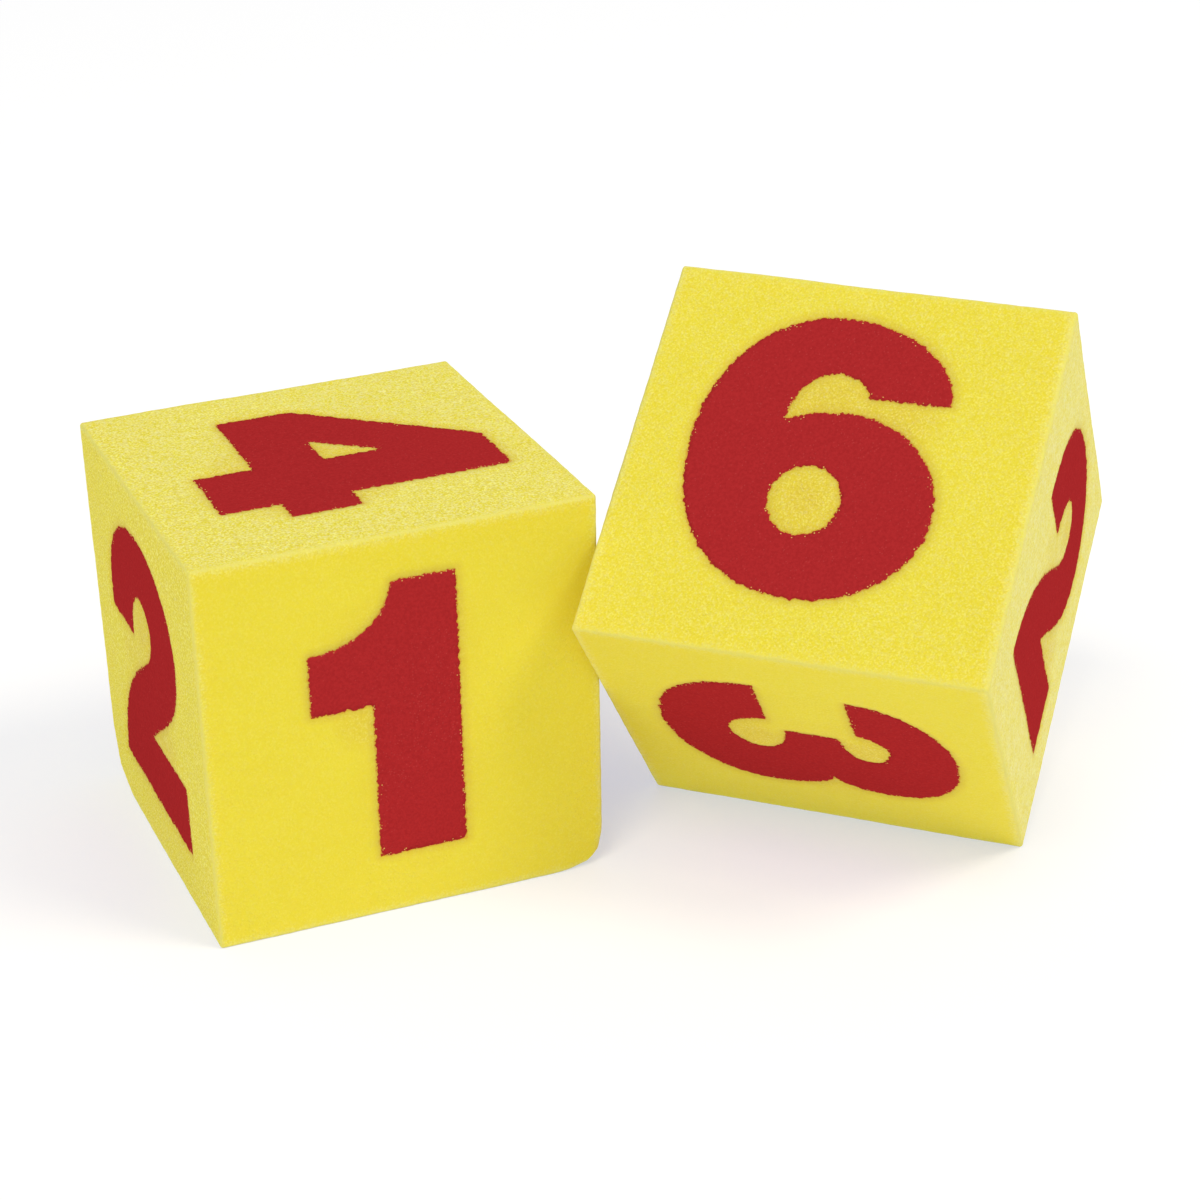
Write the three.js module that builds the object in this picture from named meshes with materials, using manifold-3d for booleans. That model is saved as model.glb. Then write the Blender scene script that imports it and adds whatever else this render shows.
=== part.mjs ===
// A pair of big foam dice with heavy numerals on their faces.
// The left die stands flat. The right die is turned, tipped up on one bottom edge, and touches
// the left die's front right corner edge with its "5" face.
//
// Millimetres, +Z up. The front of the left die looks along -Y. The origin is the middle of the
// underside of the pair's bounding box, so the floor is z = 0.
import * as THREE from 'three';
import { RoundedBoxGeometry } from 'three/addons/geometries/RoundedBoxGeometry.js';
import { mergeVertices } from 'three/addons/utils/BufferGeometryUtils.js';
import Module from 'manifold-3d';

// ---- driving dimensions ------------------------------------------------------------------

const DIE_EDGE = 152; // a six inch cube
const EDGE_RADIUS = 2; // the softened edges of the cut foam
const EDGE_SEGMENTS = 3; // facets round each softened edge
const CLEARANCE = 0.3; // gap between pieces that touch

const NUMERAL_SINK = 0.5; // how far a numeral's face lies below the foam face
const NUMERAL_THICKNESS = 2; // depth of the flocked layer that forms a numeral
const CURVE_STEPS = 8; // straight steps along each round stretch of an outline

const RIGHT_TURN_DEG = 135.2; // right die's heading: its "5" face looks back and to the left
const RIGHT_ROLL_DEG = 49.8; // how far it is rolled from standing with its "4" up
const RIGHT_SLIDE = 75.8; // its centre, measured along its "5" face from the edge it touches

const CUTTER_OVERSHOOT = 1; // a recess cutter runs this far out past the foam face
const WELD_TOLERANCE = 1e-4; // corners closer than this are one corner
const ELLIPSE_ROUND = 0.55; // curve handles, as a share of the quarter's size, for an ellipse
const FULL_ROUND = 0.62; // longer handles, for a squarer and fuller quarter

// ---- materials ---------------------------------------------------------------------------

const foam = new THREE.MeshStandardMaterial({ color: 0xe8d846, roughness: 0.95, metalness: 0 });
const flock = new THREE.MeshStandardMaterial({ color: 0xad2b2d, roughness: 0.9, metalness: 0 });

// ---- numeral outlines --------------------------------------------------------------------
// Each numeral is drawn about the middle of its own height and width, x to the right and y up.

// One quarter of a rounded stretch, from the pen's place to (x, y). It leaves along X or along Y,
// as named, and arrives along the other.
function quarterTurn(path, leavesAlong, x, y, roundness = ELLIPSE_ROUND) {
  const { x: startX, y: startY } = path.currentPoint;
  const handleX = (x - startX) * roundness;
  const handleY = (y - startY) * roundness;
  if (leavesAlong === 'x') {
    path.bezierCurveTo(startX + handleX, startY, x, y - handleY, x, y);
  } else {
    path.bezierCurveTo(startX, startY + handleY, x - handleX, y, x, y);
  }
}

function drawOne() {
  const shape = new THREE.Shape();
  shape.moveTo(-5.5, -55);
  shape.lineTo(28.5, -55);
  shape.lineTo(28.5, 55);
  shape.lineTo(4, 55);
  shape.bezierCurveTo(1, 41, -10, 31.5, -28.5, 31.5);
  shape.lineTo(-28.5, 7.5);
  shape.lineTo(-5, 7.5);
  return shape;
}

function drawTwo() {
  const shape = new THREE.Shape();
  shape.moveTo(-47.5, -55.5);
  shape.lineTo(48, -55.5);
  shape.lineTo(48, -27);
  shape.lineTo(2, -27);
  shape.bezierCurveTo(26, -10.5, 47.5, -3, 47.5, 20.5);
  quarterTurn(shape, 'y', 2, 55.5);
  quarterTurn(shape, 'x', -45, 9, FULL_ROUND);
  shape.lineTo(-14, 9);
  quarterTurn(shape, 'y', 0.5, 29.5);
  quarterTurn(shape, 'x', 12.5, 18.5);
  shape.bezierCurveTo(12.5, 6, -3, 2, -18, -9);
  shape.bezierCurveTo(-36, -22, -46.5, -37, -47.5, -55.5);
  return shape;
}

function drawThree() {
  const shape = new THREE.Shape();
  shape.moveTo(-42.5, 20);
  shape.lineTo(-11.5, 20);
  quarterTurn(shape, 'y', 0.5, 31.5);
  quarterTurn(shape, 'x', 12, 23);
  quarterTurn(shape, 'y', -7, 13);
  shape.lineTo(-7, -8);
  quarterTurn(shape, 'x', 12.5, -19);
  quarterTurn(shape, 'y', -1, -30.5);
  quarterTurn(shape, 'x', -15, -13.5);
  shape.lineTo(-46.5, -13.5);
  quarterTurn(shape, 'y', 0, -57.5, FULL_ROUND);
  quarterTurn(shape, 'x', 46.5, -20);
  quarterTurn(shape, 'y', 33, 5.5);
  quarterTurn(shape, 'x', 44, 26);
  quarterTurn(shape, 'y', 4, 57.5, FULL_ROUND);
  quarterTurn(shape, 'x', -42.5, 20);
  return shape;
}

function drawFour() {
  const shape = new THREE.Shape();
  shape.moveTo(0.5, -56);
  shape.lineTo(36, -56);
  shape.lineTo(36, -33.5);
  shape.lineTo(48.5, -33.5);
  shape.lineTo(48.5, -6.5);
  shape.lineTo(36, -6.5);
  shape.lineTo(36, 56);
  shape.lineTo(4, 56);
  shape.lineTo(-48.5, -4);
  shape.lineTo(-48.5, -33.5);
  shape.lineTo(0.5, -33.5);
  const counter = new THREE.Path();
  counter.moveTo(2, 16);
  counter.lineTo(2, -6.5);
  counter.lineTo(-16.5, -6.5);
  shape.holes.push(counter);
  return shape;
}

function drawFive() {
  const shape = new THREE.Shape();
  shape.moveTo(-38, 55);
  shape.lineTo(-46, -5);
  shape.lineTo(-16, -7);
  quarterTurn(shape, 'x', 12, -19);
  quarterTurn(shape, 'y', -2, -31);
  quarterTurn(shape, 'x', -16, -19);
  shape.lineTo(-47, -19);
  quarterTurn(shape, 'y', 0, -57.5);
  quarterTurn(shape, 'x', 47, -18);
  quarterTurn(shape, 'y', 8, 19);
  shape.lineTo(-12, 15);
  shape.lineTo(-10, 29);
  shape.lineTo(38, 29);
  shape.lineTo(38, 55);
  return shape;
}

function drawSix() {
  const shape = new THREE.Shape();
  shape.moveTo(45, 26);
  quarterTurn(shape, 'y', -1, 57.5);
  quarterTurn(shape, 'x', -48, 4);
  quarterTurn(shape, 'y', 5, -57, FULL_ROUND);
  quarterTurn(shape, 'x', 48, -19);
  quarterTurn(shape, 'y', 10, 18.5);
  shape.bezierCurveTo(-1, 18.5, -8, 16.5, -14.5, 13);
  quarterTurn(shape, 'y', 1, 34);
  quarterTurn(shape, 'x', 14, 25.5);
  const counter = new THREE.Path();
  counter.absellipse(0.5, -18, 13.5, 14, 0, 2 * Math.PI, true);
  shape.holes.push(counter);
  return shape;
}

// ---- where the numerals sit --------------------------------------------------------------

// Which way each numeral looks and which way is up for it, in the die's own axes.
// Opposite faces add up to seven.
const FACES = [
  { value: 1, draw: drawOne, out: [0, -1, 0], up: [0, 0, 1] },
  { value: 2, draw: drawTwo, out: [-1, 0, 0], up: [0, 0, 1] },
  { value: 3, draw: drawThree, out: [0, 0, -1], up: [-1, 0, 0] },
  { value: 4, draw: drawFour, out: [0, 0, 1], up: [1, 0, 0] },
  { value: 5, draw: drawFive, out: [1, 0, 0], up: [0, 0, 1] },
  { value: 6, draw: drawSix, out: [0, 1, 0], up: [0, 0, 1] },
];

// The numerals are laid on by hand, so some are off the middle of their face: [right, up].
const LEFT_OFFSETS = { 1: [-7.5, 3], 2: [-5, 1.5], 4: [-2.5, 4.5] };
const RIGHT_OFFSETS = { 2: [5.5, 9.5], 3: [-1.5, 0.5], 6: [-5.5, 4.5] };

// ---- solids ------------------------------------------------------------------------------

const wasm = await Module();
wasm.setup();

function toManifold(geometry) {
  const bare = geometry.clone();
  bare.deleteAttribute('normal');
  bare.deleteAttribute('uv');
  const welded = mergeVertices(bare, WELD_TOLERANCE);
  return new wasm.Manifold(new wasm.Mesh({
    numProp: 3,
    vertProperties: new Float32Array(welded.attributes.position.array),
    triVerts: new Uint32Array(welded.index.array),
  }));
}

function toGeometry(manifold) {
  const mesh = manifold.getMesh();
  const geometry = new THREE.BufferGeometry();
  geometry.setAttribute('position', new THREE.BufferAttribute(mesh.vertProperties, 3));
  geometry.setIndex(new THREE.BufferAttribute(mesh.triVerts, 1));
  geometry.computeVertexNormals();
  return geometry;
}

// The outline moved outwards, away from the ink, by a distance. Outer outlines run anticlockwise
// and counters clockwise, so outwards is always to the right of the way the pen travels.
function growOutline(points, distance) {
  return points.map((point, i) => {
    const before = points[(i + points.length - 1) % points.length];
    const after = points[(i + 1) % points.length];
    const arriving = point.clone().sub(before).normalize();
    const leaving = after.clone().sub(point).normalize();
    const mitre = new THREE.Vector2(arriving.y + leaving.y, -arriving.x - leaving.x);
    return point.clone().addScaledVector(mitre, distance / (1 + arriving.dot(leaving)));
  });
}

function dropClosingPoint(points) {
  const closes = points[0].distanceTo(points[points.length - 1]) < WELD_TOLERANCE;
  return closes ? points.slice(0, -1) : points;
}

// The numeral's outline pushed out by a distance and given a thickness along +Z.
function numeralSolid(draw, grow, thickness) {
  const { shape: outer, holes } = draw().extractPoints(CURVE_STEPS);
  const outline = dropClosingPoint(outer);
  if (THREE.ShapeUtils.isClockWise(outline)) outline.reverse();
  const grown = new THREE.Shape(growOutline(outline, grow));
  for (const hole of holes) {
    const counter = dropClosingPoint(hole);
    if (!THREE.ShapeUtils.isClockWise(counter)) counter.reverse();
    grown.holes.push(new THREE.Path(growOutline(counter, grow)));
  }
  return new THREE.ExtrudeGeometry(grown, { depth: thickness, bevelEnabled: false });
}

// Puts a solid drawn on the XY plane onto a face of the die, its underside at the given depth
// below the foam surface.
function placeOnFace(object, face, offset, depth) {
  const out = new THREE.Vector3(...face.out);
  const up = new THREE.Vector3(...face.up);
  const right = up.clone().cross(out);
  object.quaternion.setFromRotationMatrix(new THREE.Matrix4().makeBasis(right, up, out));
  object.position.copy(out).multiplyScalar(DIE_EDGE / 2 - depth);
  object.position.addScaledVector(right, offset[0]);
  object.position.addScaledVector(up, offset[1]);
  object.updateMatrix();
}

// ---- the pieces --------------------------------------------------------------------------

function makeFoamBlock(name, offsets) {
  const cube = new RoundedBoxGeometry(DIE_EDGE, DIE_EDGE, DIE_EDGE, EDGE_SEGMENTS, EDGE_RADIUS);
  let block = toManifold(cube);
  const recessDepth = NUMERAL_SINK + NUMERAL_THICKNESS + CLEARANCE;
  for (const face of FACES) {
    const solid = numeralSolid(face.draw, CLEARANCE, recessDepth + CUTTER_OVERSHOOT);
    const cutter = new THREE.Mesh(solid);
    placeOnFace(cutter, face, offsets[face.value] ?? [0, 0], recessDepth);
    block = block.subtract(toManifold(solid.applyMatrix4(cutter.matrix)));
  }
  const mesh = new THREE.Mesh(toGeometry(block), foam);
  mesh.name = name;
  return mesh;
}

function makeNumeral(name, face, offset) {
  const solid = mergeVertices(numeralSolid(face.draw, 0, NUMERAL_THICKNESS), WELD_TOLERANCE);
  const mesh = new THREE.Mesh(solid, flock);
  mesh.name = name;
  placeOnFace(mesh, face, offset, NUMERAL_SINK + NUMERAL_THICKNESS);
  return mesh;
}

function makeDie(side, offsets) {
  const die = new THREE.Group();
  die.add(makeFoamBlock(`${side}_foam_block`, offsets));
  for (const face of FACES) {
    const name = `${side}_numeral_${face.value}`;
    die.add(makeNumeral(name, face, offsets[face.value] ?? [0, 0]));
  }
  return die;
}

// ---- the pair ----------------------------------------------------------------------------

const leftDie = makeDie('left', LEFT_OFFSETS);
leftDie.position.z = DIE_EDGE / 2;

const rightDie = makeDie('right', RIGHT_OFFSETS);
const turn = THREE.MathUtils.degToRad(RIGHT_TURN_DEG);
const roll = THREE.MathUtils.degToRad(RIGHT_ROLL_DEG);
rightDie.rotation.set(roll, 0, turn, 'ZYX');

// The resting edge is rounded about this line, which stays one radius above the floor.
const roundingInset = DIE_EDGE / 2 - EDGE_RADIUS;
const restingLine = new THREE.Vector3(0, -roundingInset, -roundingInset);
const height = EDGE_RADIUS - restingLine.applyEuler(rightDie.rotation).z;

// The left die's front right upright edge is rounded about this line. The right die stands
// clear of that rounding by the clearance, measured along the outward normal of its "5" face.
const cornerLine = new THREE.Vector3(roundingInset, -roundingInset, 0);
const fiveOut = new THREE.Vector3(Math.cos(turn), Math.sin(turn), 0);
const alongFive = new THREE.Vector3(Math.sin(turn), -Math.cos(turn), 0);
const standOff = DIE_EDGE / 2 + EDGE_RADIUS + CLEARANCE;
rightDie.position.copy(cornerLine);
rightDie.position.addScaledVector(fiveOut, -standOff);
rightDie.position.addScaledVector(alongFive, RIGHT_SLIDE);
rightDie.position.z = height;

const pair = new THREE.Group();
pair.add(leftDie, rightDie);
const middle = new THREE.Box3().setFromObject(pair, true).getCenter(new THREE.Vector3());
pair.position.set(-middle.x, -middle.y, 0);

export default pair;
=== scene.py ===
"""A pair of big foam dice with heavy red numerals: looks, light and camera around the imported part.

Each die gets one soft foam block and six thin flocked numerals. The numerals' outlines and the
dice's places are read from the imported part, so nothing here repeats the part's own dimensions.
Lengths named _MM are millimetres in a die's own frame; everything handed to Blender is metres.
"""

import math

import bpy
import numpy as np
from mathutils import Matrix, Vector
from mathutils.geometry import delaunay_2d_cdt
from mathutils.kdtree import KDTree


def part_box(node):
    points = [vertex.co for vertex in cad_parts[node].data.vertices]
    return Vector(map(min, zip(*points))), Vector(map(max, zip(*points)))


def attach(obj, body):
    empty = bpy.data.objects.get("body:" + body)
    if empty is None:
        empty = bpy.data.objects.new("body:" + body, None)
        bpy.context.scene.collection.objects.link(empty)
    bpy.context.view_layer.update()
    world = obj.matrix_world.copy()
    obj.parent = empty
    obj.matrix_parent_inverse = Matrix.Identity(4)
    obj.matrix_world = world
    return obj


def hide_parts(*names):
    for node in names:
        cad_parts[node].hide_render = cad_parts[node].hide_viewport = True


MM = 0.001
SEED = 7
RIGHT_SEED_SHIFT = 100  # so that the two blocks are not uneven in the same places
FACE_SEED_STEP = 10  # so that no two numerals' edges wobble alike
HASH_FACTOR = np.uint64(0x9E3779B97F4A7C15)  # an odd number whose products look random

# ---- the cut foam block ------------------------------------------------------------------

GRID_STEP_MM = 1.3  # spacing of the surface points away from the edges
EDGE_STEP_MM = 0.4  # closer spacing that follows the rounding of the edges
EDGE_BAND_MM = 2.0  # how far in from an edge the closer spacing reaches
EDGE_RADIUS_MM = 1.3
WAVES_MM = ((38.0, 0.15), (9.0, 0.07), (2.6, 0.07))  # (size, height) of the surface's unevenness
DIP_MM = 0.6  # how far the numerals sit below the foam around them
DIP_REACH_MM = 3.5  # over which distance the foam slopes down to them
BED_MM = 0.7  # extra depth under a numeral, so that the foam never shows through it
BED_START_MM = 0.9  # that depth starts this far inside the numeral's edge

# How far each corner of the cut block stands off a true cube, by the corner's signs in the
# die's own axes. Hand-cut foam is a few millimetres out of square.
LEFT_OUT_OF_SQUARE = {
    (-1, 1, 1): (-0.5, 0.5, 0.5),
    (1, 1, 1): (0.2, 1.0, 2.0),
    (1, -1, 1): (-0.6, 1.0, 1.0),
    (-1, -1, 1): (-1.0, 0.5, 0.0),
    (-1, -1, -1): (0.3, 1.3, 0.0),
    (1, -1, -1): (-0.2, -1.9, 0.0),
    (-1, 1, -1): (0.4, -4.5, 0.0),
}
RIGHT_OUT_OF_SQUARE = {
    (1, 1, 1): (-2.3, -0.5, 1.0),
    (-1, 1, 1): (-0.9, 0.3, -1.0),
    (1, 1, -1): (-0.8, -1.0, -1.0),
    (1, -1, -1): (-0.4, 2.5, -2.5),
    (-1, -1, -1): (1.6, 0.9, -0.9),
    (-1, -1, 1): (0.2, 1.0, 1.5),
}
# Corners that are rubbed round: (signs, extra radius, how far along the edges it fades out).
LEFT_WORN = (((1, -1, -1), 6.5, 18.0), ((-1, 1, -1), 9.5, 28.0))
RIGHT_WORN = ()

# ---- the flocked numerals ----------------------------------------------------------------

OUTLINE_STEP_MM = 0.25
LEAST_CORNERS = 8  # no resampled outline has fewer
RAGGED_MM = ((0.55, 0.62), (1.6, 0.18))  # (size, reach) of the wobble of the inked edge
CORNER_PASSES = 5  # smoothing passes that round the numerals' corners
FILL_STEP_MM = 1.5  # spacing of the points inside a numeral
FLOCK_RISE_MM = 0.12  # the flock's height over the foam it is pressed into
FLOCK_RIM_MM = 0.5  # over which distance the flock rises from its edge
FLOCK_RIM_START = 0.2  # how far along that slope the very edge already is, from 0 to 1
FLOCK_DEPTH_MM = 0.9  # how deep the flocked layer goes
PILE_MM = ((1.7, 0.05),)  # (size, height) of the flock's unevenness
SAME_POINT_DIGITS = 3  # corners that agree to this many digits of a millimetre are one
CAP_MM = 0.01  # how far below a numeral's highest point its flat cap's corners may lie
JOIN_MM = 1e-6  # how close points must be to be joined when an outline is filled

FACES = (
    # value, outward axis and up axis in the die's own frame
    (1, (0, -1, 0), (0, 0, 1)),
    (2, (-1, 0, 0), (0, 0, 1)),
    (3, (0, 0, -1), (-1, 0, 0)),
    (4, (0, 0, 1), (1, 0, 0)),
    (5, (1, 0, 0), (0, 0, 1)),
    (6, (0, 1, 0), (0, 0, 1)),
)
# Each face of a block has its own look, by face value: (share of pale cells, how strongly the cells
# stand out).
# Partly this is the foam's cut, tighter across its rise and more open along it; partly it is painted
# sheen, the paler, more speckled look that light gives the top and the lit sides.
LEFT_GRAIN_AND_SHEEN = {
    1: (0.02, 0.13),
    2: (0.03, 0.90),
    3: (0.24, 0.60),
    4: (0.26, 0.90),
    5: (0.05, 0.70),
    6: (0.05, 0.30),
}
RIGHT_GRAIN_AND_SHEEN = {
    1: (0.06, 0.20),
    2: (0.41, 0.75),
    3: (0.04, 0.12),
    4: (0.09, 0.30),
    5: (0.36, 0.75),
    6: (0.09, 0.40),
}
GRAIN_AND_SHEEN_BLEND_MM = 5.0  # how far in from an edge two faces' looks and painted sheen run together
SHADE_STEP_MM = 1.0  # spacing of the grid on which the foam's closeness to flock is worked out
SHADE_REACH_MM = 17.0  # how far away flock still shades the foam that it surrounds
SHADE_RAYS = 16
SHADE_PASSES = 3  # smoothing passes over that grid

# ---- the looks of foam and flock ---------------------------------------------------------

FOAM_YELLOWS = ((0.848, 0.715, 0.047, 1), (0.858, 0.728, 0.050, 1))
PIT_SHADE_YELLOW = (0.72, 0.57, 0.030, 1)  # painted shade in the hollows between the cells
LIT_YELLOW = (1.00, 0.92, 0.20, 1)  # cell walls that catch the light
PALE_YELLOW = (0.95, 0.90, 0.46, 1)  # cut cells
EDGE_FUZZ_AND_SHADE_YELLOW = (0.80, 0.74, 0.23, 1)  # fuzzy foam near the block's edges, partly painted shade that damps the light the rounded edges catch
TORN_EDGE_AND_SHADE_YELLOW = (0.80, 0.71, 0.17, 1)  # the torn edges themselves, partly painted shade that damps the highlight on their rounding
SHADE_NEAR_FLOCK_YELLOW = (0.74, 0.54, 0.060, 1)  # painted shade, darker and warmer, on foam that flock stands close to
STAINED_FOAM = (0.74, 0.33, 0.03, 1)  # foam right beside a numeral
FLOCK_REDS = ((0.395, 0.0205, 0.0225, 1), (0.450, 0.0250, 0.0270, 1))
FAINT_RED = (0.55, 0.075, 0.070, 1)  # thin spots in the flock
BARE_FOAM = (0.85, 0.62, 0.16, 1)  # foam that shows in the flock's pinholes
RIM_RED = (0.60, 0.14, 0.02, 1)

# Sizes of the looks' detail, in metres.
CELL_SIZE = 0.0011
GRAIN_SIZE = 0.0010
PIT_SIZE = 0.0009
GLINT_SIZE = 0.0007
FLECK_SIZE = 0.0025
MOTTLE_SIZE = 0.005
CLOUD_SIZE = 0.035
FUZZ_AND_SHADE_SIZE = 0.003
FOAM_BUMP_SIZE = 0.0012
FIBRE_SIZE = 0.0011
PINHOLE_SIZE = 0.0009
PINHOLE_PATCH_SIZE = 0.012
BUMP_HEIGHT = 0.0004

# How far the looks of an edge reach.
FUZZ_AND_SHADE_REACH_MM = 3.8
TORN_AND_SHADE_REACH_MM = 1.6
SHADE_NEAR_INK_REACH_MM = 4.0
STAIN_REACH_MM = 0.6
PINHOLE_REACH_MM = 2.8
RIM_REACH_MM = 0.35

# ---- camera and studio -------------------------------------------------------------------

CAMERA_AT = (-0.3901, -0.7947, 0.5188)
CAMERA_HEADING_DEG = 24.01  # to the right of +Y
CAMERA_DOWN_DEG = 25.44
CAMERA_ROLL_DEG = -0.43
CAMERA_LENS_MM = 77.54
SENSOR_MM = 36.0

# A lit white table under an even white sky, between two soft lamps. Its tone takes up less blue
# than its glow gives back, so that the yellow foam doesn't tint its shadows.
SKY = 0.41
SKY_SEEN = 0.92  # how bright the sky looks over the far end of the table
FLOOR_REACH = 12.0
FLOOR_TONE = (0.66, 0.60, 0.46)
FLOOR_GLOW = (0.43, 0.48, 0.60)
PAINTED_SHADOW_GLOW = (0.27, 0.34, 0.52)  # the glow where something stands close over the table: a painted shadow, dimmer and bluer
PAINTED_SHADOW_REACH = 0.05
LAMP_REACH = (4.8, -4.4, 9.2)  # where the right lamp hangs; the left one mirrors it
LAMP_AIM = (0, 0, 0.08)
LAMP_WIDTH = 4.4
RIGHT_LAMP_POWER = 415
LEFT_LAMP_POWER = 426


# ---- small helpers -----------------------------------------------------------------------


def smooth_step(x):
    x = np.clip(x, 0.0, 1.0)
    return x * x * (3.0 - 2.0 * x)


def lattice_noise(points, size, seed):
    """Smooth noise from -1 to 1 with features of about the given size, in 2-D or 3-D."""
    p = points / size
    cell = np.floor(p).astype(np.int64)
    f = p - cell
    f = f * f * f * (f * (f * 6.0 - 15.0) + 10.0)
    total = np.zeros(len(points))
    for corner in np.ndindex(*(2,) * points.shape[1]):
        at = cell + np.array(corner)
        # The cell's whole numbers are stirred into one key, and its top bits give the value.
        key = np.full(len(points), seed, np.uint64)
        for axis in range(points.shape[1]):
            key = (key ^ at[:, axis].astype(np.uint64)) * HASH_FACTOR
            key ^= key >> np.uint64(29)
        value = (key >> np.uint64(11)).astype(float) / float(1 << 53) * 2.0 - 1.0
        weight = np.prod(np.where(corner, f, 1.0 - f), axis=1)
        total += weight * value
    return total


def layered_noise(points, layers, seed):
    """The sum of noises given as (size, height) pairs."""
    return sum(h * lattice_noise(points, s, seed + i) for i, (s, h) in enumerate(layers))


def inside_loops(points, loops):
    """Which 2-D points lie inside closed loops, counters excluded."""
    inside = np.zeros(len(points), bool)
    for loop in loops:
        near = np.flatnonzero(np.all((points > loop.min(axis=0)) & (points < loop.max(axis=0)), 1))
        x1, y1 = loop.T
        x2, y2 = np.roll(loop, -1, axis=0).T
        px, py = points[near, :1], points[near, 1:]
        spans = (y1 > py) != (y2 > py)
        rise = np.where(y2 == y1, 1.0, y2 - y1)
        crossing = spans & (px < x1 + (py - y1) / rise * (x2 - x1))
        inside[near] ^= crossing.sum(axis=1) % 2 == 1
    return inside


def distance_to_stretch(points, start, end):
    """How far each 2-D point is from its own straight stretch."""
    along = end - start
    share = np.einsum("ij,ij->i", points - start, along) / np.einsum("ij,ij->i", along, along)
    foot = start + np.clip(share, 0.0, 1.0)[:, None] * along
    return np.linalg.norm(points - foot, axis=1)


def distance_to_loops(points, loops):
    """How far 2-D points are from the nearest loop of closely spaced corners."""
    corners = np.vstack(loops)
    before = np.vstack([np.roll(loop, 1, axis=0) for loop in loops])
    after = np.vstack([np.roll(loop, -1, axis=0) for loop in loops])
    tree = KDTree(len(corners))
    for i, (x, y) in enumerate(corners):
        tree.insert((x, y, 0.0), i)
    tree.balance()
    near = np.array([tree.find((x, y, 0.0))[1] for x, y in points])
    return np.minimum(
        distance_to_stretch(points, before[near], corners[near]),
        distance_to_stretch(points, corners[near], after[near]),
    )


def shade_grid(loops, half):
    """On a grid over a face, the share of directions in which a loop's inside is near."""
    steps = np.arange(-half, half + SHADE_STEP_MM, SHADE_STEP_MM)
    count = len(steps)
    x, y = np.meshgrid(steps, steps, indexing="ij")
    cover = inside_loops(np.stack([x.ravel(), y.ravel()], axis=1), loops).reshape(x.shape)
    row, column = np.meshgrid(np.arange(count), np.arange(count), indexing="ij")
    share = np.zeros(x.shape)
    for turn in np.arange(SHADE_RAYS) * 2.0 * math.pi / SHADE_RAYS:
        met = np.zeros(x.shape, bool)
        for reach in range(1, int(SHADE_REACH_MM / SHADE_STEP_MM) + 1):
            at_row = np.clip(row + round(reach * math.cos(turn)), 0, count - 1)
            at_column = np.clip(column + round(reach * math.sin(turn)), 0, count - 1)
            met |= cover[at_row, at_column]
        share += met / SHADE_RAYS
    for _ in range(SHADE_PASSES):
        share[1:-1, 1:-1] = (
            share[1:-1, 1:-1] + share[:-2, 1:-1] + share[2:, 1:-1] + share[1:-1, :-2] + share[1:-1, 2:]
        ) / 5.0
    return share


def surrounded(points, loops, half):
    """How far each 2-D point of a face is surrounded by the loops' insides, from 0 to 1."""
    share = shade_grid(loops, half)
    at = (points + half) / SHADE_STEP_MM
    low = np.clip(np.floor(at).astype(int), 0, len(share) - 2)
    part = at - low
    total = np.zeros(len(points))
    for i, j in np.ndindex(2, 2):
        weight = np.abs(1 - i - part[:, 0]) * np.abs(1 - j - part[:, 1])
        total += weight * share[low[:, 0] + i, low[:, 1] + j]
    return total


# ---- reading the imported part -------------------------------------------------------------


def cad_triangles(node):
    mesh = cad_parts[node].data
    mesh.calc_loop_triangles()
    points = np.array([v.co for v in mesh.vertices])
    tris = np.array([t.vertices for t in mesh.loop_triangles])
    return points, tris


def flat_normal(node, middle):
    """The outward normal of a numeral's flat face."""
    points, tris = cad_triangles(node)
    a, b, c = (points[tris[:, i]] for i in range(3))
    cross = np.cross(b - a, c - a)
    biggest = cross[np.argmax((cross**2).sum(axis=1))]
    biggest /= np.linalg.norm(biggest)
    return biggest if (points.mean(axis=0) - middle) @ biggest > 0 else -biggest


class Die:
    """Where one packed die stands, and its size."""

    def __init__(self, side):
        self.side = side
        low, high = (np.array(corner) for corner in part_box(f"{side}_foam_block"))
        self.middle = (low + high) / 2
        # The die's own X, Y and Z look out of its faces 5, 6 and 4.
        self.axes = np.stack(
            [flat_normal(f"{side}_numeral_{v}", self.middle) for v in (5, 6, 4)], axis=1
        )
        local = self.to_own(cad_triangles(f"{side}_foam_block")[0])
        self.half = float(np.abs(local).max())

    def to_own(self, points):
        """Row frame in metres to the die's own frame in millimetres."""
        return (points - self.middle) @ self.axes / MM

    def to_row(self, points):
        return points * MM @ self.axes.T + self.middle


def face_axes(face):
    value, out, up = face
    out, up = np.array(out, float), np.array(up, float)
    return value, np.cross(up, out), up, out


def numeral_loops(die, face):
    """The numeral's outline loops on its face, x to the right and y up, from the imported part."""
    value, right, up, out = face_axes(face)
    points, tris = cad_triangles(f"{die.side}_numeral_{value}")
    own = die.to_own(points)
    flat = np.stack([own @ right, own @ up], axis=1)
    height = own @ out
    # The pack may hold one corner several times, so corners are matched by their rounded place.
    rounded = np.round(np.c_[flat, height], SAME_POINT_DIGITS)
    _, same = np.unique(rounded, axis=0, return_inverse=True)
    same = same.ravel()
    cap = height > height.max() - CAP_MM
    edges = {}
    for tri in tris[cap[tris].all(axis=1)]:
        for a, b in zip(tri, np.roll(tri, -1)):
            edges[(same[a], same[b])] = a
    # An edge of the outline is passed in one direction only.
    border = {a: (b, vertex) for (a, b), vertex in edges.items() if (b, a) not in edges}
    loops = []
    while border:
        here, loop = next(iter(border)), []
        while here in border:
            here, vertex = border.pop(here)
            loop.append(flat[vertex])
        loops.append(np.array(loop))
    return loops


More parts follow.
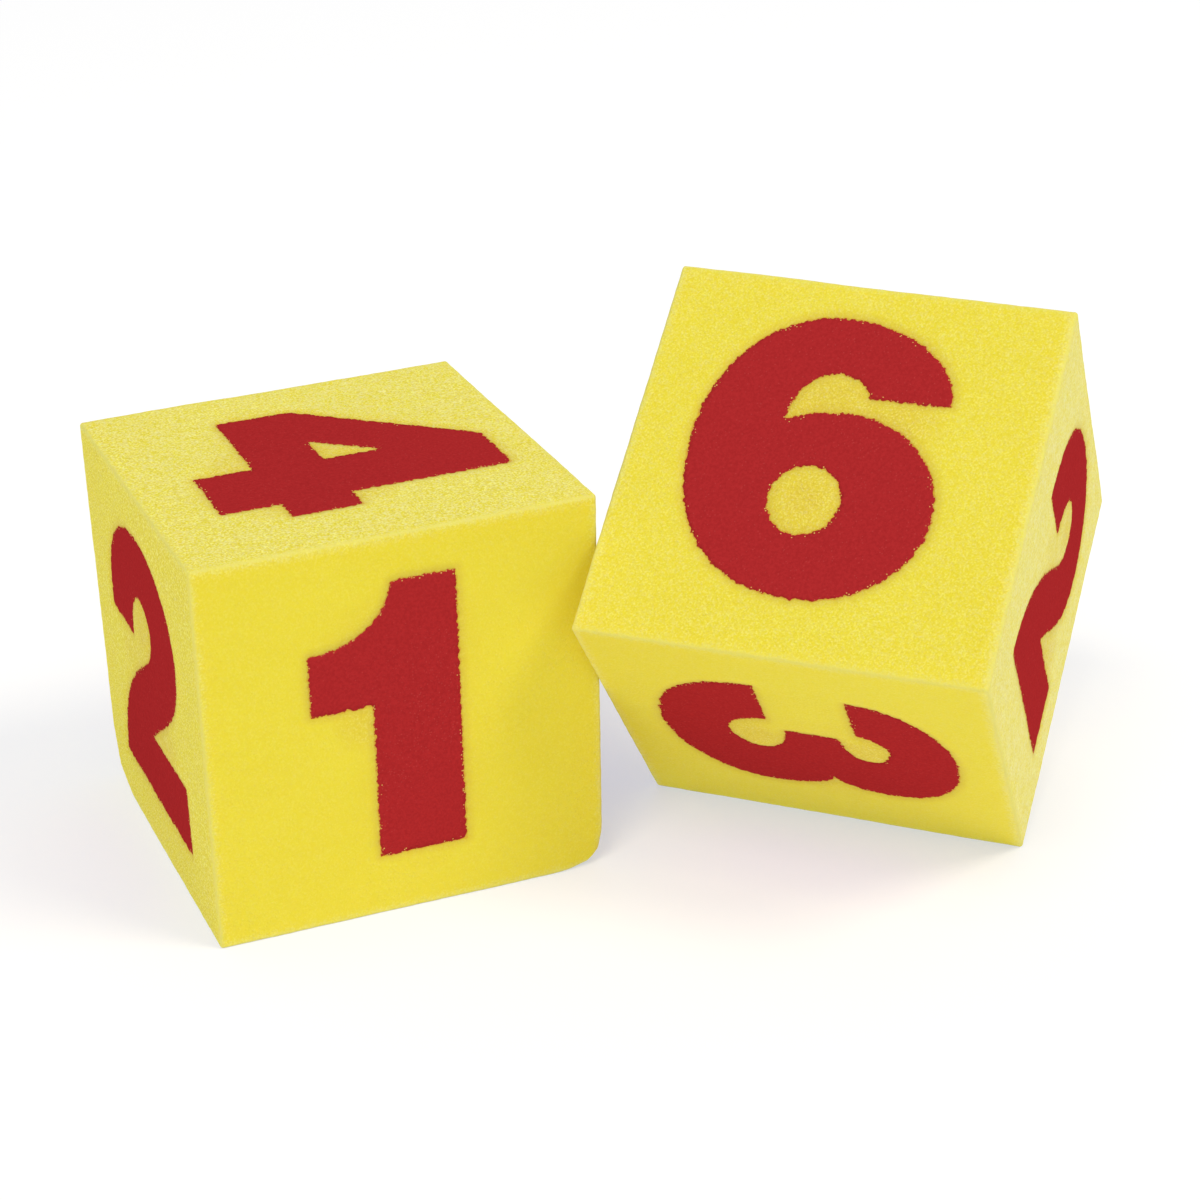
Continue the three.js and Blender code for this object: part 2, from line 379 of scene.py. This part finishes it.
def even_loop(loop, step):
    """The loop resampled at even steps."""
    closed = np.vstack([loop, loop[:1]])
    run = np.r_[0.0, np.cumsum(np.linalg.norm(np.diff(closed, axis=0), axis=1))]
    count = max(LEAST_CORNERS, int(round(run[-1] / step)))
    at = np.arange(count) * run[-1] / count
    return np.stack([np.interp(at, run, closed[:, i]) for i in range(2)], axis=1)


def smooth_loop(loop):
    return (np.roll(loop, 1, axis=0) + 2.0 * loop + np.roll(loop, -1, axis=0)) / 4.0


def ragged_loop(loop, seed):
    """The loop with rounded corners and the wobble of flock on open foam."""
    out = even_loop(loop, OUTLINE_STEP_MM)
    for _ in range(CORNER_PASSES):
        out = smooth_loop(out)
    ahead = np.roll(out, -1, axis=0) - np.roll(out, 1, axis=0)
    side = np.stack([ahead[:, 1], -ahead[:, 0]], axis=1)
    side /= np.linalg.norm(side, axis=1, keepdims=True)
    return smooth_loop(out + side * layered_noise(out, RAGGED_MM, seed)[:, None])


# ---- the foam surface --------------------------------------------------------------------


class FoamShape:
    """Turns points of a plain cube into points of the soft, uneven, slightly skewed block."""

    def __init__(self, die, skew, worn):
        self.die = die
        self.skew = skew
        self.worn = worn

    def radius(self, points):
        radius = np.full(len(points), EDGE_RADIUS_MM)
        for signs, extra, reach in self.worn:
            gap = np.linalg.norm(points - np.array(signs) * self.die.half, axis=1)
            radius += extra * smooth_step(1.0 - gap / reach)
        return radius

    def place(self, points, sink, seed):
        """Points of the cube's surface to the row frame, sunk by the given depths."""
        half = self.die.half
        radius = self.radius(points)[:, None]
        core = np.clip(points, -(half - radius), half - radius)
        spoke = points - core
        normal = spoke / np.linalg.norm(spoke, axis=1, keepdims=True)
        uneven = layered_noise(points, WAVES_MM, seed)
        moved = core + normal * (radius + (uneven - sink)[:, None])
        share = np.clip(points / half, -1.0, 1.0)
        for signs, offset in self.skew.items():
            weight = np.prod((1.0 + share * np.array(signs)) / 2.0, axis=1)
            moved += weight[:, None] * np.array(offset)
        return self.die.to_row(moved)


def grid_lines(half):
    edge = np.arange(0.0, EDGE_BAND_MM, EDGE_STEP_MM)
    inner = half - EDGE_BAND_MM
    count = int(round(2 * inner / GRID_STEP_MM))
    return np.r_[-half + edge, np.linspace(-inner, inner, count + 1), half - edge[::-1]]


def dip_depth(gap, inside):
    """How far the foam is pressed in, from the distance to the ink's edge."""
    slope = np.where(inside, 1.0, smooth_step(1.0 - gap / DIP_REACH_MM))
    bed = np.where(inside, smooth_step((gap - BED_START_MM) / BED_START_MM), 0.0)
    return DIP_MM * slope, BED_MM * bed


def blended_grain_and_sheen(flat, face, half, grain_and_sheen):
    """Each point's two numbers of cut look and painted sheen, running into the neighbours' across the
    edges.
    """
    value, right, up, _ = face_axes(face)
    by_axis = {tuple(out): other for other, out, _ in FACES}
    own = np.tile(grain_and_sheen[value], (len(flat), 1))
    total = own.copy()
    for axis, run in ((right, flat[:, 0]), (up, flat[:, 1])):
        for sign in (1, -1):
            other = np.array(grain_and_sheen[by_axis[tuple((sign * axis).astype(int))]])
            near = 0.5 * smooth_step(1.0 - (half - sign * run) / GRAIN_AND_SHEEN_BLEND_MM)
            total += near[:, None] * (other - own)
    return total


def add_mesh(name, points, faces, numbers, material):
    mesh = bpy.data.meshes.new(name)
    mesh.vertices.add(len(points))
    mesh.vertices.foreach_set("co", points.astype(np.float32).ravel())
    size = faces.shape[1]
    mesh.loops.add(faces.size)
    mesh.loops.foreach_set("vertex_index", faces.astype(np.int32).ravel())
    mesh.polygons.add(len(faces))
    mesh.polygons.foreach_set("loop_start", np.arange(0, faces.size, size, dtype=np.int32))
    mesh.update(calc_edges=True)
    mesh.validate()
    mesh.shade_smooth()
    for key, values in numbers.items():
        layer = mesh.attributes.new(key, "FLOAT", "POINT")
        layer.data.foreach_set("value", values.astype(np.float32))
    mesh.materials.append(material)
    obj = bpy.data.objects.new(name, mesh)
    bpy.context.scene.collection.objects.link(obj)
    return obj


def build_block(die, shape, outlines, grain_and_sheen, material, seed):
    lines = grid_lines(die.half)
    count = len(lines)
    points, faces, sinks = [], [], []
    numbers = {"edge_mm": [], "ink_mm": [], "surrounded": [], "pale": [], "speckled": []}
    for face in FACES:
        value, right, up, out = face_axes(face)
        x, y = (a.ravel() for a in np.meshgrid(lines, lines, indexing="xy"))
        flat = np.stack([x, y], axis=1)
        start = sum(len(p) for p in points)
        points.append(np.outer(x, right) + np.outer(y, up) + die.half * out)
        loops = outlines[value]
        gap, inside = distance_to_loops(flat, loops), inside_loops(flat, loops)
        dip, bed = dip_depth(gap, inside)
        sinks.append(dip + bed)
        numbers["edge_mm"].append(die.half - np.abs(flat).max(axis=1))
        numbers["ink_mm"].append(np.where(inside, -gap, gap))
        numbers["surrounded"].append(surrounded(flat, loops, die.half))
        pale, speckled = blended_grain_and_sheen(flat, face, die.half, grain_and_sheen).T
        numbers["pale"].append(pale)
        numbers["speckled"].append(speckled)
        row, col = np.meshgrid(np.arange(count - 1), np.arange(count - 1), indexing="ij")
        a = (row * count + col).ravel() + start
        faces.append(np.stack([a, a + 1, a + count + 1, a + count], axis=1))
    points, faces = np.vstack(points), np.vstack(faces)
    sinks = np.concatenate(sinks)
    numbers = {k: np.concatenate(v) for k, v in numbers.items()}
    # Points that two or three faces share along the block's edges become one.
    rounded = np.round(points, SAME_POINT_DIGITS)
    _, first, same = np.unique(rounded, axis=0, return_index=True, return_inverse=True)
    same = same.ravel()
    shares = np.bincount(same)
    merged = {k: np.bincount(same, v) / shares for k, v in numbers.items()}
    placed = shape.place(points[first], sinks[first], seed)
    return add_mesh(f"{die.side}_foam", placed, same[faces], merged, material)


def points_within(loops):
    """Evenly spread points inside the loops, in rows a triangle's height apart."""
    low = np.min([loop.min(axis=0) for loop in loops], axis=0)
    high = np.max([loop.max(axis=0) for loop in loops], axis=0)
    columns = np.arange(low[0], high[0], FILL_STEP_MM)
    rows = np.arange(low[1], high[1], FILL_STEP_MM * math.sqrt(3) / 2)
    x, y = np.meshgrid(columns, rows)
    x[1::2] += FILL_STEP_MM / 2
    fill = np.stack([x.ravel(), y.ravel()], axis=1)
    return fill[inside_loops(fill, loops) & (distance_to_loops(fill, loops) > FILL_STEP_MM / 2)]


def triangles_within(loops):
    """The area inside the loops as points and triangles."""
    corners, edges = [], []
    for loop in loops:
        start = sum(len(c) for c in corners)
        ring = np.arange(len(loop)) + start
        corners.append(loop)
        edges += list(zip(ring.tolist(), np.roll(ring, -1).tolist()))
    flat = np.vstack(corners + [points_within(loops)])
    made = delaunay_2d_cdt([Vector(p) for p in flat], edges, [], 0, JOIN_MM)
    flat = np.array([tuple(v) for v in made[0]])
    tris = np.array(made[2])
    tris = tris[inside_loops(flat[tris].mean(axis=1), loops)]
    used, tris = np.unique(tris, return_inverse=True)
    return flat[used], tris.reshape(-1, 3)


def build_numeral(die, shape, face, loops, material, seed):
    value, right, up, out = face_axes(face)
    flat, tris = triangles_within(loops)
    gap = distance_to_loops(flat, loops)
    cube = np.outer(flat[:, 0], right) + np.outer(flat[:, 1], up) + die.half * out
    pile = layered_noise(cube, PILE_MM, seed)
    rise = FLOCK_RISE_MM * smooth_step(gap / FLOCK_RIM_MM + FLOCK_RIM_START) + pile
    top = shape.place(cube, DIP_MM - rise, seed)
    bottom = shape.place(cube, np.full(len(flat), DIP_MM + FLOCK_DEPTH_MM), seed)
    count = len(flat)
    pairs = {(a, b) for tri in tris.tolist() for a, b in zip(tri, tri[1:] + tri[:1])}
    rim = np.array([p for p in pairs if (p[1], p[0]) not in pairs])
    wall = np.vstack(
        [
            np.stack([rim[:, 1], rim[:, 0], rim[:, 0] + count], axis=1),
            np.stack([rim[:, 1], rim[:, 0] + count, rim[:, 1] + count], axis=1),
        ]
    )
    faces = np.vstack([tris, tris[:, ::-1] + count, wall])
    return add_mesh(
        f"{die.side}_flock_{value}",
        np.vstack([top, bottom]),
        faces,
        {"rim_mm": np.r_[gap, gap]},
        material,
    )


def seed_of(die):
    return SEED + (RIGHT_SEED_SHIFT if die.side == "right" else 0)


# ---- materials ---------------------------------------------------------------------------


class Nodes:
    """Short hand for building a node material."""

    def __init__(self, name):
        self.material = bpy.data.materials.new(name)
        self.material.use_nodes = True
        self.tree = self.material.node_tree
        self.tree.nodes.clear()

    def add(self, kind, **settings):
        node = self.tree.nodes.new(kind)
        for key, value in settings.items():
            setattr(node, key, value)
        return node

    def link(self, source, target):
        self.tree.links.new(source, target)

    def skin(self):
        """A principled surface, wired to the material's output."""
        skin = self.add("ShaderNodeBsdfPrincipled")
        self.link(skin.outputs[0], self.add("ShaderNodeOutputMaterial").inputs["Surface"])
        return skin

    def bump(self, skin, height, distance, strength):
        node = self.add("ShaderNodeBump")
        node.inputs["Distance"].default_value = distance
        node.inputs["Strength"].default_value = strength
        self.link(height, node.inputs["Height"])
        self.link(node.outputs[0], skin.inputs["Normal"])

    def fill(self, socket, value):
        if isinstance(value, bpy.types.NodeSocket):
            self.link(value, socket)
        else:
            socket.default_value = value

    def math(self, operation, *values, clamp=False):
        node = self.add("ShaderNodeMath", operation=operation, use_clamp=clamp)
        for socket, value in zip(node.inputs, values):
            self.fill(socket, value)
        return node.outputs[0]

    def between(self, value, low, high, to_low=0.0, to_high=1.0):
        node = self.add("ShaderNodeMapRange", interpolation_type="SMOOTHSTEP")
        self.fill(node.inputs["Value"], value)
        node.inputs["From Min"].default_value = low
        node.inputs["From Max"].default_value = high
        node.inputs["To Min"].default_value = to_low
        node.inputs["To Max"].default_value = to_high
        return node.outputs[0]

    def mix(self, share, a, b):
        node = self.add("ShaderNodeMix", data_type="RGBA")
        self.fill(node.inputs["Factor"], share)
        # The node has an A, a B and a result for each type of data; these are its colour ones.
        self.fill(node.inputs[6], a)
        self.fill(node.inputs[7], b)
        return node.outputs[2]

    def attribute(self, name):
        return self.add("ShaderNodeAttribute", attribute_name=name).outputs["Fac"]

    def noise(self, size, detail=2.0, roughness=0.5):
        node = self.add("ShaderNodeTexNoise")
        self.link(self.place, node.inputs["Vector"])
        node.inputs["Scale"].default_value = 1.0 / size
        node.inputs["Detail"].default_value = detail
        node.inputs["Roughness"].default_value = roughness
        return node.outputs["Fac"]

    def cells(self, size):
        node = self.add("ShaderNodeTexVoronoi", feature="F1")
        self.link(self.place, node.inputs["Vector"])
        node.inputs["Scale"].default_value = 1.0 / size
        return node

    @property
    def place(self):
        """The shaded point in the object's own metres."""
        if not hasattr(self, "_place"):
            self._place = self.add("ShaderNodeTexCoord").outputs["Object"]
        return self._place


def foam_speckle(n):
    """Two pale patterns: single cut cells, and the dense speckle that they are part of."""
    cells = n.cells(CELL_SIZE)
    speck = n.between(cells.outputs["Distance"], 0.1, 0.6, 1.0, 0.0)
    speck = n.math("MULTIPLY", speck, n.between(cells.outputs["Color"], 0.25, 0.80))
    dense = n.between(n.noise(GRAIN_SIZE, 1.0), 0.38, 0.62)
    return speck, n.math("MULTIPLY_ADD", speck, 0.8, n.math("MULTIPLY_ADD", dense, 0.7, -0.62))


def foam_colour(n, speckle):
    edge, ink = n.attribute("edge_mm"), n.attribute("ink_mm")
    near_flock = n.attribute("surrounded")
    cloud = n.between(n.noise(CLOUD_SIZE, 3.0), 0.3, 0.7)
    colour = n.mix(cloud, *FOAM_YELLOWS)

    # Cut cells show as a dense pale speckle, paler and stronger on some faces partly as painted sheen;
    # the deeper yellow between them is painted shade in their hollows, and the bright cell walls are
    # painted glints.
    speckled = n.math("ADD", n.between(near_flock, 0.4, 0.9, 0.0, 0.9), n.attribute("speckled"))
    mottle = n.between(n.noise(MOTTLE_SIZE, 3.0), 0.3, 0.7, 0.8, 1.2)
    flecks = n.between(n.noise(FLECK_SIZE, 1.0), 0.3, 0.7, -0.07, 0.09)
    even = n.math("MULTIPLY_ADD", flecks, speckled, n.math("MULTIPLY", n.attribute("pale"), mottle))
    contrast = n.math("MULTIPLY", speckled, 0.5)
    pale = n.math("MULTIPLY_ADD", speckle, contrast, even, clamp=True)
    pit_shade = n.between(n.noise(PIT_SIZE, 1.0), 0.46, 0.70, 0.0, 0.75)
    glints = n.between(n.noise(GLINT_SIZE, 0.0), 0.53, 0.72)
    colour = n.mix(n.math("MULTIPLY", pit_shade, speckled), colour, PIT_SHADE_YELLOW)
    colour = n.mix(n.math("MULTIPLY", glints, speckled), colour, LIT_YELLOW)
    colour = n.mix(pale, colour, PALE_YELLOW)

    # The fuzzy torn edges dull and pale the block's edges, partly as painted shade that damps the
    # light their rounding catches.
    wobble = n.between(n.noise(FUZZ_AND_SHADE_SIZE, 2.0), 0.2, 0.8, -0.8, 0.8)
    fuzz_and_shade = n.between(n.math("ADD", edge, wobble), -0.5, FUZZ_AND_SHADE_REACH_MM, 0.44, 0.0)
    fuzz_and_shade = n.math("MULTIPLY", fuzz_and_shade, n.math("MULTIPLY_ADD", speckle, 0.6, 1.0), clamp=True)
    colour = n.mix(fuzz_and_shade, colour, EDGE_FUZZ_AND_SHADE_YELLOW)
    colour = n.mix(n.between(edge, 0.0, TORN_AND_SHADE_REACH_MM, 0.75, 0.0), colour, TORN_EDGE_AND_SHADE_YELLOW)
    # Painted shade: foam that flock surrounds, or stands close beside, looks darker and warmer.
    colour = n.mix(n.between(near_flock, 0.25, 0.9, 0.0, 0.55), colour, SHADE_NEAR_FLOCK_YELLOW)
    colour = n.mix(n.between(ink, 0.0, SHADE_NEAR_INK_REACH_MM, 0.46, 0.0), colour, SHADE_NEAR_FLOCK_YELLOW)
    return n.mix(n.between(ink, 0.0, STAIN_REACH_MM, 0.60, 0.0), colour, STAINED_FOAM)


def foam_material(name):
    n = Nodes(name)
    skin = n.skin()
    speck, speckle = foam_speckle(n)
    n.link(foam_colour(n, speckle), skin.inputs["Base Color"])

    fine = n.noise(FOAM_BUMP_SIZE, 2.0, 0.6)
    height = n.math("MULTIPLY_ADD", speck, 0.6, fine)
    n.bump(skin, height, BUMP_HEIGHT, 0.5)
    n.link(n.between(fine, 0.3, 0.7, 0.85, 1.0), skin.inputs["Roughness"])
    skin.inputs["Specular IOR Level"].default_value = 0.08
    skin.inputs["Subsurface Weight"].default_value = 0.4
    skin.inputs["Subsurface Radius"].default_value = (1.0, 0.8, 0.15)
    skin.inputs["Subsurface Scale"].default_value = 0.006
    skin.inputs["Sheen Weight"].default_value = 0.04
    skin.inputs["Sheen Roughness"].default_value = 0.6
    skin.inputs["Sheen Tint"].default_value = (1.0, 0.97, 0.80, 1)
    return n.material


def flock_colour(n, fibre):
    rim = n.attribute("rim_mm")
    colour = n.mix(n.between(fibre, 0.3, 0.7), *FLOCK_REDS)
    # Bare foam shows in pinholes, mostly close to the rim.
    cells = n.cells(PINHOLE_SIZE)
    hole = n.between(cells.outputs["Distance"], 0.20, 0.36, 1.0, 0.0)
    near_rim = n.between(rim, 0.0, PINHOLE_REACH_MM, 0.15, -0.45)
    patches = n.between(n.noise(PINHOLE_PATCH_SIZE, 2.0), 0.35, 0.65, -0.18, 0.08)
    many = n.math("ADD", n.math("ADD", cells.outputs["Color"], near_rim), patches)
    bare = n.math("MULTIPLY", hole, n.between(many, 0.64, 0.72, 0.0, 0.9))
    faint = n.math("MULTIPLY", hole, n.between(cells.outputs["Color"], 0.30, 0.22, 0.0, 0.35))
    colour = n.mix(faint, colour, FAINT_RED)
    colour = n.mix(bare, colour, BARE_FOAM)
    return n.mix(n.between(rim, 0.0, RIM_REACH_MM, 0.30, 0.0), colour, RIM_RED)


def flock_material(name):
    n = Nodes(name)
    skin = n.skin()
    fibre = n.noise(FIBRE_SIZE, 2.0, 0.6)
    n.link(flock_colour(n, fibre), skin.inputs["Base Color"])
    n.bump(skin, fibre, BUMP_HEIGHT, 0.4)
    n.link(n.between(fibre, 0.3, 0.7, 0.9, 1.0), skin.inputs["Roughness"])
    skin.inputs["Specular IOR Level"].default_value = 0.0
    return n.material


def floor_material(name):
    n = Nodes(name)
    skin = n.skin()
    skin.inputs["Base Color"].default_value = (*FLOOR_TONE, 1)
    skin.inputs["Roughness"].default_value = 0.9
    skin.inputs["Specular IOR Level"].default_value = 0.0
    # Painted shadow: where something stands close over the table, its glow dims to the shadow glow.
    open_above = n.add("ShaderNodeAmbientOcclusion", samples=8)
    open_above.inputs["Distance"].default_value = PAINTED_SHADOW_REACH
    glow = n.mix(open_above.outputs["AO"], (*PAINTED_SHADOW_GLOW, 1), (*FLOOR_GLOW, 1))
    n.link(glow, skin.inputs["Emission Color"])
    skin.inputs["Emission Strength"].default_value = 1.0
    return n.material


# ---- studio ------------------------------------------------------------------------------


def add_floor():
    signs = ((-1, -1), (1, -1), (1, 1), (-1, 1))
    mesh = bpy.data.meshes.new("floor")
    mesh.from_pydata([(x * FLOOR_REACH, y * FLOOR_REACH, 0) for x, y in signs], [], [(0, 1, 2, 3)])
    floor = bpy.data.objects.new("floor", mesh)
    mesh.materials.append(floor_material("floor_white"))
    bpy.context.scene.collection.objects.link(floor)


def add_lamp(name, at, power):
    light = bpy.data.lights.new(name, "AREA")
    light.shape = "DISK"
    light.size = LAMP_WIDTH
    light.energy = power
    lamp = bpy.data.objects.new(name, light)
    lamp.location = at
    lamp.rotation_euler = (Vector(LAMP_AIM) - Vector(at)).to_track_quat("-Z", "Y").to_euler()
    bpy.context.scene.collection.objects.link(lamp)


def add_sky():
    world = bpy.data.worlds.new("studio")
    bpy.context.scene.world = world
    world.use_nodes = True
    tree = world.node_tree
    background = tree.nodes["Background"]
    background.inputs["Color"].default_value = (1, 1, 1, 1)
    seen = tree.nodes.new("ShaderNodeLightPath")
    strength = tree.nodes.new("ShaderNodeMapRange")
    strength.inputs["To Min"].default_value = SKY
    strength.inputs["To Max"].default_value = SKY_SEEN
    tree.links.new(seen.outputs["Is Camera Ray"], strength.inputs["Value"])
    tree.links.new(strength.outputs[0], background.inputs["Strength"])


def add_camera():
    camera = bpy.data.objects.new("camera", bpy.data.cameras.new("camera"))
    camera.data.lens = CAMERA_LENS_MM
    camera.data.sensor_width = SENSOR_MM
    camera.data.clip_start = 0.01
    camera.data.clip_end = 100.0
    turn = Matrix.Rotation(math.radians(-CAMERA_HEADING_DEG), 4, "Z")
    tilt = Matrix.Rotation(math.radians(90 - CAMERA_DOWN_DEG), 4, "X")
    roll = Matrix.Rotation(math.radians(CAMERA_ROLL_DEG), 4, "Z")
    camera.matrix_world = Matrix.Translation(CAMERA_AT) @ turn @ tilt @ roll
    bpy.context.scene.collection.objects.link(camera)
    bpy.context.scene.camera = camera


# ---- build -------------------------------------------------------------------------------

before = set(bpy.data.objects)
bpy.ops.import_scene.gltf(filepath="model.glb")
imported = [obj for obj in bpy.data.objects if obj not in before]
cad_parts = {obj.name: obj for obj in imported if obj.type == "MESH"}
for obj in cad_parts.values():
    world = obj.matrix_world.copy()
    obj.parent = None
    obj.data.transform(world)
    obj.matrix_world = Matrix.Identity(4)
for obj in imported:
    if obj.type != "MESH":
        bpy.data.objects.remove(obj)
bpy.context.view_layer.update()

foam, flock = foam_material("foam_yellow"), flock_material("flock_red")
for side, skew, worn, grain_and_sheen in (
    ("left", LEFT_OUT_OF_SQUARE, LEFT_WORN, LEFT_GRAIN_AND_SHEEN),
    ("right", RIGHT_OUT_OF_SQUARE, RIGHT_WORN, RIGHT_GRAIN_AND_SHEEN),
):
    die = Die(side)
    shape = FoamShape(die, skew, worn)
    body = f"{side}_die"
    outlines = {}
    for face in FACES:
        value = face[0]
        seed = seed_of(die) + FACE_SEED_STEP * value
        loops = numeral_loops(die, face)
        outlines[value] = [ragged_loop(loop, seed + i) for i, loop in enumerate(loops)]
    block = build_block(die, shape, outlines, grain_and_sheen, foam, seed_of(die))
    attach(block, body)
    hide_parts(f"{side}_foam_block")
    for face in FACES:
        value = face[0]
        numeral = build_numeral(die, shape, face, outlines[value], flock, seed_of(die))
        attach(numeral, body)
        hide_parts(f"{side}_numeral_{value}")

add_floor()
add_sky()
for name, sign, power in (("right_lamp", 1, RIGHT_LAMP_POWER), ("left_lamp", -1, LEFT_LAMP_POWER)):
    add_lamp(name, (sign * LAMP_REACH[0], *LAMP_REACH[1:]), power)
add_camera()

view = bpy.context.scene.view_settings
view.view_transform = "Standard"
view.look = "None"
